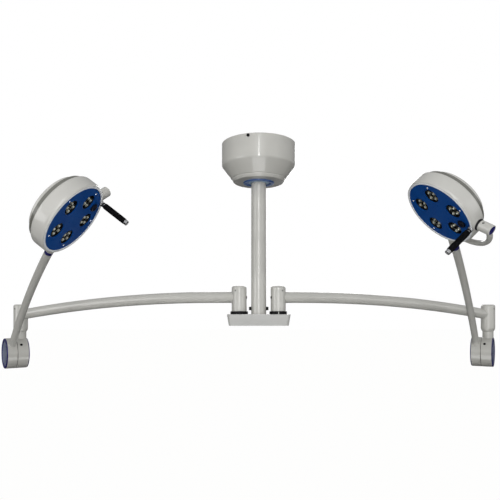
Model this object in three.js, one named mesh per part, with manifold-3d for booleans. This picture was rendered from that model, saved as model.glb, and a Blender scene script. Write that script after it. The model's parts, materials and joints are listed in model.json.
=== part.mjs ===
// Ceiling-mounted surgical light with two articulated lamp heads.
// Millimetres, +Z up. The origin is the middle of the ceiling flange's top face, X runs
// through both arm posts and -Y is the side the lamp heads reach towards.
import * as THREE from 'three';
import { mergeVertices } from 'three/addons/utils/BufferGeometryUtils.js';
import Module from 'manifold-3d';

const wasm = await Module();
wasm.setup();

// ---- Driving dimensions -------------------------------------------------------------

const gap = 0.3; // clearance left between neighbouring pieces
const bearingGap = 1; // radial play of the turning pins, wide enough for faceted rounds

// Fixed mount
const canopyRadius = 147;
const canopyDepth = 151;
const canopyWall = 3;
const flangeRadius = 138;
const flangeRimDepth = 18;
const flangePlate = 6;
const columnRadius = 30;
const columnWall = 4;
const barTopZ = -677;
const barHeight = 45;
const barLength = 251;
const barWidth = 77;
const barDraft = 7;
const postX = 78;
const collarHeight = 12;
const spindleRadius = 20;
const boltBoreRadius = 4.8;

// Horizontal arm
const sleeveRadius = 30;
const postTopZ = -564;
const armZ = -609;
const armReach = 1020;
const armTubeRadius = 22.5;
const armTubeWall = 3;
const armStraight = 120;
const armBendRadius = 5520;
const elbowTopZ = -636;
const elbowBottomZ = -758;
const elbowPinRadius = 18;

// Drop stem and spring-arm hub
const stemRadius = 23;
const hubZ = -853;
const hubRadius = 67;
const hubWall = 6;
const stemHalfLength = 47.4;
const armHalfLength = 42.6;
const hubSplit = 1.5;
const hubCapDepth = 6.5;
const axleRadius = 15;

// Spring arm
const springRadius = 14;
const springWall = 2.5;
const springBend = 2540;
const springLength = 772;
const springInset = 2; // the tube sits this far from mid-half, towards the hub split
const swivelRingLength = 20;
const swivelPinRadius = 8;
const swivelPinLength = 44;

// Yoke, in a plane through the swivel axis and the tilt axis
const swivelToTilt = 224;
const socketRadius = 16;
const socketTop = 132;
const yokeTubeRadius = 9;
const yokeDrop = 140;
const yokeReach = 161.5;
const yokeCorner = 112;
const barrelRadius = 16.5;
const barrelStart = 133.2;
const barrelEnd = 170;
const tiltShaftRadius = 9;

// Lamp head; its own Z is the way the light shines, with the tilt axis at Z = 0
const drumRadius = 127.5;
const drumWall = 4;
const bezelZ = 24.5;
const faceZ = 23;
const faceRadius = 115.5;
const faceThickness = 3;
const drumRearZ = -25;
const neckRadius = 117;
const rearCoverZ = -39;
const rearCoverRadius = 104.5;
const lampCount = 5;
const lampCircle = 69;
const lampHoleRadius = 25.5;
const buttonRadial = 85;
const buttonRadius = 13;
const handleRadial = 119;
const handleTipZ = 132;

// Roundness of the faceted solids
const fine = 24;
const medium = 18;
const coarse = 12;
const small = 10;

// Rest pose of each side, in degrees
const sides = {
  left: { post: -postX, swing: 165.8, drop: 36.4, lift: 39.9, yoke: 38.3, tilt: 76.5 },
  right: { post: postX, swing: 16.6, drop: -31, lift: 42.2, yoke: -34.4, tilt: 83.2 },
};

// ---- Materials ----------------------------------------------------------------------

const finish = (color, roughness, metalness) => () =>
  new THREE.MeshStandardMaterial({ color, roughness, metalness });
const whitePaint = finish(0xc9c8c2, 0.38, 0);
const whitePlastic = finish(0xd4d2cb, 0.4, 0);
const bluePlastic = finish(0x12489a, 0.25, 0);
const navyPlastic = finish(0x23236e, 0.3, 0);
const paleBlue = finish(0x7c93b5, 0.35, 0);
const blackPlastic = finish(0x121214, 0.5, 0);
const rubber = finish(0x0b0b0b, 0.8, 0);
const chrome = finish(0xd8dadc, 0.12, 1);
const steel = finish(0x8e9196, 0.35, 1);
const aluminium = finish(0xb9bcc0, 0.35, 1);
const clearPlastic = finish(0xc8ccd2, 0.1, 0);

// ---- Geometry helpers ---------------------------------------------------------------

const radians = THREE.MathUtils.degToRad;

// Merges shared vertices, drops collapsed triangles and turns every face outwards.
function closed(geometry) {
  const bare = geometry.clone();
  bare.deleteAttribute('normal');
  bare.deleteAttribute('uv');
  const merged = mergeVertices(bare, 1e-4);
  const index = merged.index.array;
  const corner = [new THREE.Vector3(), new THREE.Vector3(), new THREE.Vector3()];
  const kept = [];
  let volume = 0;
  for (let i = 0; i < index.length; i += 3) {
    const [a, b, c] = index.slice(i, i + 3);
    if (a === b || b === c || c === a) continue;
    kept.push(a, b, c);
    [a, b, c].forEach((vertex, k) => corner[k].fromBufferAttribute(merged.attributes.position, vertex));
    volume += corner[0].dot(corner[1].cross(corner[2]));
  }
  merged.setIndex(volume < 0 ? kept.reverse() : kept);
  return merged;
}

function toSolid(geometry) {
  const mesh = closed(geometry);
  return new wasm.Manifold(new wasm.Mesh({
    numProp: 3,
    vertProperties: new Float32Array(mesh.attributes.position.array),
    triVerts: new Uint32Array(mesh.index.array),
  }));
}

function fromSolid(solid) {
  const mesh = solid.getMesh();
  const geometry = new THREE.BufferGeometry();
  geometry.setAttribute('position', new THREE.BufferAttribute(mesh.vertProperties, 3));
  geometry.setIndex(new THREE.BufferAttribute(mesh.triVerts, 1));
  return geometry;
}

const join = (first, ...others) =>
  fromSolid(others.reduce((solid, other) => solid.add(toSolid(other)), toSolid(first)));
const cut = (first, ...others) =>
  fromSolid(others.reduce((solid, other) => solid.subtract(toSolid(other)), toSolid(first)));

// Spins an outline of [radius, height] points about +Z, or about another axis.
function spin(outline, facets, axis = 'z') {
  const points = outline.map(([radius, height]) => new THREE.Vector2(radius, height));
  const geometry = new THREE.LatheGeometry(points, facets);
  if (axis === 'z') geometry.rotateX(Math.PI / 2);
  if (axis === 'x') geometry.rotateZ(-Math.PI / 2);
  return closed(geometry);
}

// The same, for an outline that never meets the axis and so closes on itself.
const spinRing = (outline, facets, axis) => spin([...outline, outline[0]], facets, axis);

function rod(radius, from, to, facets, axis) {
  return spin([[0, from], [radius, from], [radius, to], [0, to]], facets, axis);
}

function box(width, depth, height, x, y, z) {
  return new THREE.BoxGeometry(width, depth, height).translate(x, y, z);
}

// A quarter-round edge from one outline point to another about their common centre.
function roundEdge(centreRadius, centreHeight, size, startDegrees, endDegrees, steps) {
  return Array.from({ length: steps + 1 }, (_, i) => {
    const angle = radians(startDegrees + (endDegrees - startDegrees) * i / steps);
    return [centreRadius + size * Math.cos(angle), centreHeight + size * Math.sin(angle)];
  });
}

const circlePoints = (radius, facets) => Array.from({ length: facets }, (_, i) => {
  const angle = (2 * Math.PI * i) / facets;
  return new THREE.Vector2(radius * Math.cos(angle), radius * Math.sin(angle));
});

// A round tube along a curve; an inner radius of 0 makes it solid.
function tubeAlong(curve, outer, inner, steps, facets) {
  const shape = new THREE.Shape(circlePoints(outer, facets));
  if (inner > 0) shape.holes.push(new THREE.Path(circlePoints(inner, facets)));
  return closed(new THREE.ExtrudeGeometry(shape, { steps, extrudePath: curve }));
}

class FormulaCurve extends THREE.Curve {
  constructor(pointAt, from, to) {
    super();
    this.pointAt = pointAt;
    this.from = from;
    this.to = to;
  }

  getPoint(t, target = new THREE.Vector3()) {
    return target.copy(this.pointAt(this.from + (this.to - this.from) * t));
  }
}

// A rounded rectangle whose sides draw in towards the bottom.
function draftedBlock(length, width, height, draft, corner) {
  const x = length / 2 - corner;
  const y = width / 2 - corner;
  const outline = [[x, y, 0], [-x, y, 90], [-x, -y, 180], [x, -y, 270]].flatMap(([cx, cy, start]) =>
    roundEdge(cx, cy, corner, start, start + 90, 2));
  const shape = new THREE.Shape(outline.map(([px, py]) => new THREE.Vector2(px, py)));
  const geometry = new THREE.ExtrudeGeometry(shape, { depth: height, bevelEnabled: false });
  geometry.translate(0, 0, -height);
  const position = geometry.attributes.position;
  for (let i = 0; i < position.count; i += 1) {
    const inward = draft * (-position.getZ(i) / height);
    position.setX(i, position.getX(i) - Math.sign(position.getX(i)) * inward);
    position.setY(i, position.getY(i) - Math.sign(position.getY(i)) * inward);
  }
  return closed(geometry);
}

function place(group, name, geometry, material) {
  const mesh = new THREE.Mesh(geometry, material());
  mesh.name = name;
  group.add(mesh);
}

// ---- Fixed ceiling mount ------------------------------------------------------------

const canopyScrewAngle = radians(-105);
const canopyScrewZ = -9;
const columnTopZ = -flangePlate - 4 - gap;
const columnBoltZ = -654;

// A piece modelled along +X, turned to the canopy screw's place.
const atCanopyScrew = (geometry) => geometry.rotateZ(canopyScrewAngle).translate(0, 0, canopyScrewZ);

function ceilingFlange() {
  const bossRadius = 40;
  const bossDepth = 60;
  const bore = columnRadius + 0.8;
  const centrePlate = flangePlate + 3;
  const rimWall = 6;
  const pan = spin([
    [0, 0], [flangeRadius, 0], [flangeRadius, -flangeRimDepth],
    [flangeRadius - rimWall, -flangeRimDepth], [flangeRadius - rimWall, -flangePlate],
    [bossRadius, -flangePlate], [bossRadius, -bossDepth], [bore, -bossDepth],
    [bore, -centrePlate], [0, -centrePlate],
  ], fine);
  const ceilingBolts = [45, 135, 225, 315].map((degrees) => {
    const angle = radians(degrees);
    return rod(4.5, -10, 2, small).translate(100 * Math.cos(angle), 100 * Math.sin(angle), 0);
  });
  const cableHole = rod(12, -10, 2, small).translate(-80, 0, 0);
  const screwHole = atCanopyScrew(rod(2.8, 130, 145, small, 'x'));
  return cut(pan, ...ceilingBolts, cableHole, screwHole);
}

function canopyShell() {
  const r = canopyRadius;
  const w = canopyWall;
  const shoulder = 12;
  const coneEnd = 110;
  const lip = 106;
  const shell = spinRing([
    [r, -1], ...roundEdge(r - shoulder, -84, shoulder, 0, -60, 2),
    [coneEnd, -136], [lip - 2, -139], [lip, -141], [lip - 6, -canopyDepth],
    [56, -canopyDepth], [56, -canopyDepth + w], [lip - 9, -canopyDepth + w],
    [lip - 5, -137], [r - shoulder, -93], [r - w, -1],
  ], fine);
  return cut(shell, atCanopyScrew(rod(2.8, 140, 152, small, 'x')));
}

function canopyScrew() {
  const seat = canopyRadius + 0.4;
  return atCanopyScrew(spin([
    [0, flangeRadius - 5], [2.2, flangeRadius - 5], [2.2, seat], [6, seat], [6, seat + 1.6], [4, seat + 3],
    [0, seat + 3],
  ], small, 'x'));
}

function canopyRing() {
  const top = -canopyDepth - gap;
  return spinRing([[62, top], [60, top - 4], [41.6, top - 4], [41.6, top]], fine);
}

function columnGland() {
  const top = -canopyDepth + canopyWall;
  return spinRing([[41, top], [41, top - 6], [columnRadius + 0.8, top - 6], [columnRadius + 0.8, top]], fine);
}

const boltBore = (radius) => rod(radius, -60, 60, small, 'x').translate(0, 0, columnBoltZ);

function column() {
  const bottom = barTopZ + gap;
  const inner = columnRadius - columnWall;
  const tube = spinRing([
    [columnRadius, columnTopZ], [columnRadius, bottom], [inner, bottom], [inner, columnTopZ],
  ], fine);
  return cut(tube, boltBore(boltBoreRadius));
}

function columnBolt() {
  const seat = columnRadius + 0.6;
  const end = columnRadius + 9;
  return spin([
    [0, -end], [6, -end], [7, -end + 1], [7, -seat], [4, -seat],
    [4, seat], [7, seat], [7, end - 1], [6, end], [0, end],
  ], small, 'x').translate(0, 0, columnBoltZ);
}

function crossBar() {
  const wall = 4;
  const topPlate = 10;
  const block = draftedBlock(barLength, barWidth, barHeight, barDraft, 9).translate(0, 0, barTopZ);
  const hollow = draftedBlock(barLength - 2 * wall, barWidth - 2 * wall, barHeight + 20, barDraft, 6)
    .translate(0, 0, barTopZ - topPlate);
  const spigot = rod(columnRadius - columnWall - 0.8, barTopZ - 2, barTopZ + 40, coarse);
  const spindles = [-postX, postX].map((x) =>
    rod(spindleRadius, barTopZ - 2, postTopZ - 13, coarse).translate(x, 0, 0));
  return cut(join(block, spigot, ...spindles), hollow, boltBore(boltBoreRadius));
}

function barCover() {
  const shrink = 12.4;
  const length = barLength - 2 * shrink;
  const width = barWidth - 2 * shrink;
  return draftedBlock(length, width, 3, 0, 4).translate(0, 0, barTopZ - barHeight + 4);
}

function postCollar() {
  const bottom = barTopZ + gap;
  const top = barTopZ + collarHeight;
  const rim = sleeveRadius + 5;
  const bore = spindleRadius + bearingGap;
  return spinRing([
    [rim, bottom], [rim, top - 1.5], [rim - 1.5, top], [bore, top], [bore, bottom],
  ], medium);
}

function addMount(light) {
  place(light, 'ceiling_flange', ceilingFlange(), steel);
  place(light, 'power_supply', box(66, 64, 34, 84, 0, -flangePlate - gap - 17), aluminium);
  place(light, 'canopy_shell', canopyShell(), whitePaint);
  place(light, 'canopy_screw', canopyScrew(), blackPlastic);
  place(light, 'canopy_ring', canopyRing(), bluePlastic);
  place(light, 'column_gland', columnGland(), paleBlue);
  place(light, 'column', column(), whitePaint);
  place(light, 'column_bolt', columnBolt(), blackPlastic);
  place(light, 'cross_bar', crossBar(), whitePaint);
  place(light, 'bar_cover', barCover(), whitePaint);
  for (const [side, { post }] of Object.entries(sides)) {
    place(light, `${side}_post_collar`, postCollar().translate(post, 0, 0), blackPlastic);
  }
}

// ---- Horizontal arm: its frame has Z on the post axis and X along the arm -------------

const plugZ = -610;

// Straight out of the post sleeve, then drooping in a wide arc.
const armPoint = (x) =>
  new THREE.Vector3(x, 0, armZ - Math.max(0, x - armStraight) ** 2 / (2 * armBendRadius));

function postSleeve() {
  const bottom = barTopZ + collarHeight + gap;
  const bore = spindleRadius + bearingGap;
  const sleeve = spin([
    [0, postTopZ], [sleeveRadius - 5, postTopZ], [sleeveRadius, postTopZ - 5], [sleeveRadius, bottom],
    [bore, bottom], [bore, postTopZ - 11], [0, postTopZ - 11],
  ], medium);
  return cut(sleeve, rod(5, -sleeveRadius - 2, -sleeveRadius + 6, small, 'x').translate(0, 0, plugZ));
}

function postPlug() {
  const face = -sleeveRadius - 0.4;
  return spin([
    [0, face - 2], [5, face - 2], [6.4, face - 1], [6.4, face], [4.6, face], [4.6, face + 5], [0, face + 5],
  ], small, 'x').translate(0, 0, plugZ);
}

function armTube() {
  const curve = new FormulaCurve(armPoint, 15, armReach - 15);
  const tube = tubeAlong(curve, armTubeRadius, armTubeRadius - armTubeWall, 6, coarse);
  const postSpace = rod(sleeveRadius + gap, armZ - 60, armZ + 60, medium);
  const elbowSpace = rod(sleeveRadius + gap, elbowBottomZ, elbowTopZ + 20, medium).translate(armReach, 0, 0);
  return cut(tube, postSpace, elbowSpace);
}

function elbowSleeve() {
  const bore = elbowPinRadius + bearingGap;
  return spin([
    [0, elbowTopZ], [sleeveRadius - 4, elbowTopZ], [sleeveRadius, elbowTopZ - 4],
    [sleeveRadius, elbowBottomZ + 12], [stemRadius + 0.5, elbowBottomZ],
    [bore, elbowBottomZ], [bore, elbowTopZ - 13], [0, elbowTopZ - 13],
  ], medium).translate(armReach, 0, 0);
}

function addArm(parent, side) {
  const { post, swing } = sides[side];
  const arm = new THREE.Group();
  arm.position.set(post, 0, 0);
  arm.rotation.z = radians(swing);
  parent.add(arm);
  place(arm, `${side}_post_sleeve`, postSleeve(), whitePaint);
  place(arm, `${side}_post_plug`, postPlug(), blackPlastic);
  place(arm, `${side}_arm_tube`, armTube(), whitePaint);
  place(arm, `${side}_elbow_sleeve`, elbowSleeve(), whitePaint);
  return arm;
}

// ---- Drop stem: its frame has Z on the elbow axis and X along the hub axle ------------

const stemHalfInner = -stemHalfLength / 2;
const stemHalfOuter = stemHalfLength / 2 - hubCapDepth;
const hubOffset = stemHalfInner - hubSplit - armHalfLength / 2;

function dropStem() {
  const shoulder = elbowBottomZ - 0.5;
  const stem = spin([
    [0, elbowTopZ - 16], [elbowPinRadius, elbowTopZ - 16], [elbowPinRadius, shoulder],
    [stemRadius, shoulder], [stemRadius, hubZ + 40], [0, hubZ + 40],
  ], medium);
  const hubSpace = rod(hubRadius + 0.5, -60, 60, fine, 'x').translate(0, 0, hubZ);
  return cut(stem, hubSpace);
}

// One half of the hub: a bowl whose closed face is at 0 and whose open end is at `depth`.
function hubHalf(depth, web) {
  const bore = axleRadius + bearingGap;
  const boss = 26;
  const chamfer = 1.5;
  return [
    [bore, 0], [hubRadius - chamfer, 0], [hubRadius, chamfer], [hubRadius, depth],
    [hubRadius - hubWall, depth], [hubRadius - hubWall, web], [boss, web],
    [boss, depth - 8], [bore, depth - 8],
  ];
}

// The cap closing a hub half: a raised rim round a shallow dished disc, seated at 0.
function hubCapOutline() {
  const rim = hubRadius - 0.6;
  const spigot = hubRadius - hubWall - 0.8;
  const seat = gap;
  return [
    [0, -2], [spigot, -2], [spigot, seat], [rim, seat], [rim, hubCapDepth - 1.5],
    [rim - 2, hubCapDepth], [50, hubCapDepth], [48, hubCapDepth - 2.5], [0, hubCapDepth - 4],
  ];
}

// Lays an outline along +X or -X from a given place.
const laidAlong = (outline, start, direction) =>
  outline.map(([radius, height]) => [radius, start + direction * height]);

function hubAxle() {
  const end = hubOffset - armHalfLength / 2 + hubCapDepth + 5;
  const discFace = stemHalfInner - gap;
  const discBack = stemHalfInner - hubSplit + gap;
  return spin([
    [0, stemHalfOuter - 6], [axleRadius, stemHalfOuter - 6], [axleRadius, discFace], [62, discFace],
    [62, discBack], [axleRadius, discBack], [axleRadius, end], [0, end],
  ], medium, 'x').translate(0, 0, hubZ);
}

function addDrop(arm, side) {
  const { swing, drop } = sides[side];
  const stem = new THREE.Group();
  stem.position.set(armReach, 0, 0);
  stem.rotation.z = radians(drop - swing);
  arm.add(stem);
  const half = laidAlong(hubHalf(stemHalfOuter - stemHalfInner, 7), stemHalfInner, 1);
  const cap = laidAlong(hubCapOutline(), stemHalfOuter, 1);
  place(stem, `${side}_drop_stem`, dropStem(), whitePaint);
  place(stem, `${side}_hub_stem_half`, spinRing(half, medium, 'x').translate(0, 0, hubZ), whitePaint);
  place(stem, `${side}_hub_stem_cap`, spin(cap, medium, 'x').translate(0, 0, hubZ), navyPlastic);
  place(stem, `${side}_hub_axle`, hubAxle(), blackPlastic);
  return stem;
}

// ---- Spring arm: its frame is centred in the hub's arm half, with X along the axle ----

// The tube leaves the hub along -Y and bends towards -Z.
const springPoint = (distance) => {
  const angle = distance / springBend;
  return new THREE.Vector3(
    springInset, -springBend * Math.sin(angle), -springBend * (1 - Math.cos(angle)));
};
const springTube = (from, to, outer, inner, steps) =>
  tubeAlong(new FormulaCurve(springPoint, from, to), outer, inner, steps, small);

function hubArmHalf() {
  const inner = armHalfLength / 2;
  const half = laidAlong(hubHalf(armHalfLength - hubCapDepth, 4.2), inner, -1);
  return cut(spinRing(half, medium, 'x'), springTube(30, 100, springRadius + gap, 0, 1));
}

// Frame at the end of the spring arm, whose -Y is the swivel axis.
function springEnd(lift) {
  const end = new THREE.Group();
  end.position.copy(springPoint(springLength));
  end.rotation.x = springLength / springBend;
  lift.add(end);
  return end;
}

function swivelRing() {
  const ring = springRadius + 0.3;
  const spigot = springRadius - springWall - 1.8;
  const low = swivelRingLength;
  return spin([
    [0, low + 20], [spigot, low + 20], [spigot, low], [ring, low], [ring, 0],
    [swivelPinRadius, 0], [swivelPinRadius, -swivelPinLength], [0, -swivelPinLength],
  ], small, 'y');
}

function addLift(stem, side) {
  const lift = new THREE.Group();
  lift.position.set(hubOffset, 0, hubZ);
  lift.rotation.x = -radians(sides[side].lift);
  stem.add(lift);
  const cap = laidAlong(hubCapOutline(), -armHalfLength / 2 + hubCapDepth, -1);
  const tubeEnd = springLength - swivelRingLength - gap;
  const tube = springTube(28, tubeEnd, springRadius, springRadius - springWall, 7);
  const end = springEnd(lift);
  place(lift, `${side}_hub_arm_half`, hubArmHalf(), whitePaint);
  place(lift, `${side}_hub_arm_cap`, spin(cap, medium, 'x'), navyPlastic);
  place(lift, `${side}_spring_arm_tube`, tube, whitePaint);
  place(end, `${side}_swivel_ring`, swivelRing(), navyPlastic);
  return end;
}

// ---- Yoke: its frame is centred on the head, X on the tilt axis, +Y towards the arm ----

function yokePath() {
  const corner = new THREE.Vector2(yokeReach - yokeCorner, yokeDrop - yokeCorner);
  const path = new THREE.CurvePath();
  const point = (x, y) => new THREE.Vector3(x, y, 0);
  const cornerPoint = (angle) => point(
    corner.x + yokeCorner * Math.sin(angle), corner.y + yokeCorner * Math.cos(angle));
  path.add(new THREE.LineCurve3(point(0, yokeDrop), point(corner.x, yokeDrop)));
  path.add(new FormulaCurve(cornerPoint, 0, Math.PI / 2));
  path.add(new THREE.LineCurve3(point(yokeReach, corner.y), point(yokeReach, 5)));
  return path;
}

function yoke() {
  const foot = swivelToTilt - 0.5;
  const pinBore = swivelPinRadius + bearingGap;
  const pinRoom = swivelPinLength + 4;
  const socket = spin([
    [0, socketTop], [socketRadius - 4, socketTop], [socketRadius, socketTop + 4], [socketRadius, foot],
    [pinBore, foot], [pinBore, foot - pinRoom], [0, foot - pinRoom],
  ], coarse, 'y');
  const tube = tubeAlong(yokePath(), yokeTubeRadius, 0, 12, small);
  const barrelSpace = rod(barrelRadius + gap, barrelStart - 5, barrelEnd + 10, coarse, 'x');
  return cut(join(socket, tube), barrelSpace);
}

function pivotBarrel() {
  const bore = tiltShaftRadius + bearingGap;
  return spinRing([
    [bore, barrelStart], [barrelRadius - 1, barrelStart], [barrelRadius, barrelStart + 1],
    [barrelRadius, barrelEnd], [bore, barrelEnd],
  ], coarse, 'x');
}

function pivotCap() {
  const face = barrelEnd + gap;
  return spin([
    [0, face - 9], [tiltShaftRadius, face - 9], [tiltShaftRadius, face], [barrelRadius, face],
    [barrelRadius, face + 1.5], [barrelRadius - 1.5, face + 3], [0, face + 3],
  ], coarse, 'x');
}

function addYoke(end, side) {
  const swivel = new THREE.Group();
  swivel.position.set(0, -swivelToTilt, 0);
  swivel.rotation.y = -radians(sides[side].yoke);
  end.add(swivel);
  place(swivel, `${side}_yoke`, yoke(), whitePaint);
  place(swivel, `${side}_pivot_barrel`, pivotBarrel(), whitePaint);
  place(swivel, `${side}_pivot_cap`, pivotCap(), navyPlastic);
  return swivel;
}

// ---- Lamp head: X towards the pivot, Z the way the light shines ------------------------

const lampAngles = Array.from({ length: lampCount }, (_, i) => radians(36 + (360 / lampCount) * i));
const atEachLamp = (makeGeometry) => lampAngles.map((angle) =>
  makeGeometry().translate(lampCircle * Math.cos(angle), lampCircle * Math.sin(angle), 0));

function headCasing() {
  const edge = 8;
  const frontEdge = 3;
  const inside = drumRadius - drumWall;
  const neckInside = neckRadius - drumWall;
  const ledge = faceRadius - 5;
  const seat = faceZ - faceThickness - gap;
  return spinRing([
    [faceRadius + 0.6, bezelZ], [drumRadius - frontEdge, bezelZ],
    [drumRadius, bezelZ - frontEdge], ...roundEdge(drumRadius - edge, drumRearZ + edge, edge, 0, -90, 2),
    [neckRadius, drumRearZ], [neckRadius, rearCoverZ + gap], [neckInside, rearCoverZ + gap],
    [neckInside, drumRearZ + 4], [inside - 3, drumRearZ + 4], [inside, 12],
    [ledge, 16], [ledge, seat], [faceRadius + 0.6, seat],
  ], fine);
}

function rearCover() {
  const sideDepth = 13;
  const domeDepth = 26;
  const domeEdge = 40;
  const r = rearCoverRadius;
  return spin([
    [0, rearCoverZ - domeDepth], [r - domeEdge, rearCoverZ - domeDepth + 2], [r - 5, rearCoverZ - sideDepth],
    [r, rearCoverZ - sideDepth + 5], [r, rearCoverZ], [0, rearCoverZ],
  ], fine);
}

function facePlate() {
  const back = faceZ - faceThickness;
  const holes = atEachLamp(() => rod(lampHoleRadius, back - 2, faceZ + 2, small));
  const buttonHole = rod(buttonRadius + bearingGap, back - 2, faceZ + 2, small).translate(buttonRadial, 0, 0);
  return cut(rod(faceRadius, back, faceZ, fine), ...holes, buttonHole);
}

// Five reflector cups moulded on one carrier plate.
function lensArray() {
  const carrierBottom = 10;
  const carrierTop = 12;
  const rim = lampHoleRadius - 2.3;
  const cup = () => spin([
    [0, 11], [rim, 11], [rim, 21.5], [rim - 2, 21.5], [10, 13.5], [0, 13.5],
  ], small);
  const carrier = rod(98, carrierBottom, carrierTop, medium);
  const buttonSpace = rod(15, 5, 25, small).translate(buttonRadial, 0, 0);
  return cut(join(carrier, ...atEachLamp(cup)), buttonSpace);
}

// Metal-core board carrying one light source behind each cup.
function ledBoard() {
  const top = 6;
  const source = () => box(10, 10, 4, 0, 0, top + 1);
  return join(rod(102, top - 4, top, medium), ...atEachLamp(source));
}

// Saddle block screwed to the drum side, with the tilt shaft standing out of it.
function pivotBracket() {
  const inner = drumRadius + 0.6;
  const outer = inner + 4.2;
  const halfAngle = 8.5;
  const steps = 4;
  const outerArc = roundEdge(0, 0, outer, -halfAngle, halfAngle, steps);
  const innerArc = roundEdge(0, 0, inner, halfAngle, -halfAngle, steps);
  const shape = new THREE.Shape([...outerArc, ...innerArc].map(([x, y]) => new THREE.Vector2(x, y)));
  const height = 37;
  const saddle = new THREE.ExtrudeGeometry(shape, { depth: height, bevelEnabled: false })
    .translate(0, 0, -height / 2);
  return join(saddle, rod(tiltShaftRadius, inner + 1, barrelEnd - 12, coarse, 'x'));
}

const gripStart = 39;
const gripEnd = 122;

// Chrome foot, through rod and end knob in one piece.
function handleCore() {
  const foot = bezelZ + gap;
  return spin([
    [0, foot], [9, foot], [9, foot + 3], [6, foot + 5], [6, gripStart - gap], [4, gripStart - gap],
    [4, gripEnd + gap], [8.6, gripEnd + gap], [8.6, handleTipZ - 1.5], [7, handleTipZ], [0, handleTipZ],
  ], small).translate(handleRadial, 0, 0);
}

function handleGrip() {
  return spinRing([
    [4.5, gripStart], [9.2, gripStart], [9.8, gripStart + 1],
    [9.8, gripEnd - 1], [9.2, gripEnd], [4.5, gripEnd],
  ], small).translate(handleRadial, 0, 0);
}

function lightButton() {
  const proud = faceZ + 4.5;
  return spin([
    [0, faceZ - 8], [4, faceZ - 8], [4, faceZ - 2], [buttonRadius, faceZ - 2],
    [buttonRadius, proud - 1.2], [buttonRadius - 1.2, proud], [0, proud],
  ], small).translate(buttonRadial, 0, 0);
}

function addHead(swivel, side) {
  const head = new THREE.Group();
  head.rotation.x = radians(90 + sides[side].tilt);
  swivel.add(head);
  place(head, `${side}_head_casing`, headCasing(), whitePlastic);
  place(head, `${side}_rear_cover`, rearCover(), whitePlastic);
  place(head, `${side}_face_plate`, facePlate(), bluePlastic);
  place(head, `${side}_lens_array`, lensArray(), clearPlastic);
  place(head, `${side}_led_board`, ledBoard(), aluminium);
  place(head, `${side}_pivot_bracket`, pivotBracket(), blackPlastic);
  place(head, `${side}_handle_core`, handleCore(), chrome);
  place(head, `${side}_handle_grip`, handleGrip(), rubber);
  place(head, `${side}_light_button`, lightButton(), blackPlastic);
}

// ---- Assembly -----------------------------------------------------------------------

const light = new THREE.Group();
addMount(light);
for (const side of Object.keys(sides)) {
  const arm = addArm(light, side);
  const stem = addDrop(arm, side);
  const springArmEnd = addLift(stem, side);
  const swivel = addYoke(springArmEnd, side);
  addHead(swivel, side);
}

export default light;
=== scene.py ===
import json
import math
from collections import namedtuple

import bmesh
import bpy
from mathutils import Matrix, Vector


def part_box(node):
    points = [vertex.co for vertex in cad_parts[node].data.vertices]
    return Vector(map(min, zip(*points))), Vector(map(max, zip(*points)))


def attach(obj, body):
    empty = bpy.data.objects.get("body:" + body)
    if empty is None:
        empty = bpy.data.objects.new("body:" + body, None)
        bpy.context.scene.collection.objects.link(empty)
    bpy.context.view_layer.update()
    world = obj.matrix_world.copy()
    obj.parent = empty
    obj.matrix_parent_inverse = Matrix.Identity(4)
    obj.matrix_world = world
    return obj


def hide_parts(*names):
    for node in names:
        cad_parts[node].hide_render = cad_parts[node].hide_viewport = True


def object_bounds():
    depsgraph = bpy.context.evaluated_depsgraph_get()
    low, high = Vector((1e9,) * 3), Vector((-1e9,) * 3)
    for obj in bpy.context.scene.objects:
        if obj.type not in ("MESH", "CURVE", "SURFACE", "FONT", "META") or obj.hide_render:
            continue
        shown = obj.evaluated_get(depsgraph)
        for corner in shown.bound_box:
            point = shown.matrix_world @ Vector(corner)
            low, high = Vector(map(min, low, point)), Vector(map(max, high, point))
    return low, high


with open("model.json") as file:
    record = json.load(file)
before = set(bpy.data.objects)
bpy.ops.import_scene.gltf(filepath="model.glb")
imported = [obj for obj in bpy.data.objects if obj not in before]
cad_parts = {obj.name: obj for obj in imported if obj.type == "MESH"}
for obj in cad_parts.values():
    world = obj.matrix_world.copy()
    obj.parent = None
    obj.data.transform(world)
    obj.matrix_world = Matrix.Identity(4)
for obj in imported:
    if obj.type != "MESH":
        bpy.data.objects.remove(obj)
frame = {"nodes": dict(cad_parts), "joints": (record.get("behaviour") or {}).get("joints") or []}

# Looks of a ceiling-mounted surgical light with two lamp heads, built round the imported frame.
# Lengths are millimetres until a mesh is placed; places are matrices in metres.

CAD_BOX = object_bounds()
MM = 0.001
UP = Vector((0, 0, 1))
ACROSS = Vector((1, 0, 0))

# Roundness: points round a large, a middling and a small circle, and along a rounded corner
LARGE = 128
MIDDLE = 72
SMALL = 36
CORNER_STEPS = 4

# Shape details that the frame's solids don't give by their own extent
SLEEVE_CROWN = 10          # rounding of the sleeve tops
SCREW_DROP = 19            # set screws sit this far under a sleeve's top
SCREW_TURN = 75            # and this far round from the arm, in degrees
COVER_SCREW_RADIUS = 3
WELD_BEAD = 1.6
BEAD_POINTS = 10           # round the bead
HUB_PLUG_RADIUS = 5.6
HUB_PLUG_FROM_SPLIT = 15
HUB_PLUG_TURN = 54         # from straight up, towards the spring arm
HUB_RING_WIDTH = 12
SPLIT_CLEARANCE = 0.25     # between the hub's washer and each half
YOKE_CROWN = 140           # height of the yoke's cross run above the tilt axis
YOKE_CORNER = 112
YOKE_TUBE = 9
YOKE_BOTTOM = 5
BARREL_SCREW_TURN = 171    # round the barrel, from the side that faces away from the arm
LAMP_COUNT = 5
LAMP_CIRCLE = 69
LAMP_HOLE = 25.5
PETAL_CIRCLE = 13.4
FACE_SCREW_CIRCLE = 102.5
FACE_SCREW_RADIUS = 3.4
BEZEL_WIDTH = 6.4
DRUM_REAR_EDGE = 8
SPRING_TUBE = 14
SWIVEL_RING_LENGTH = 20
COLUMN_BORE = 30.8         # of the pieces round the column

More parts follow.
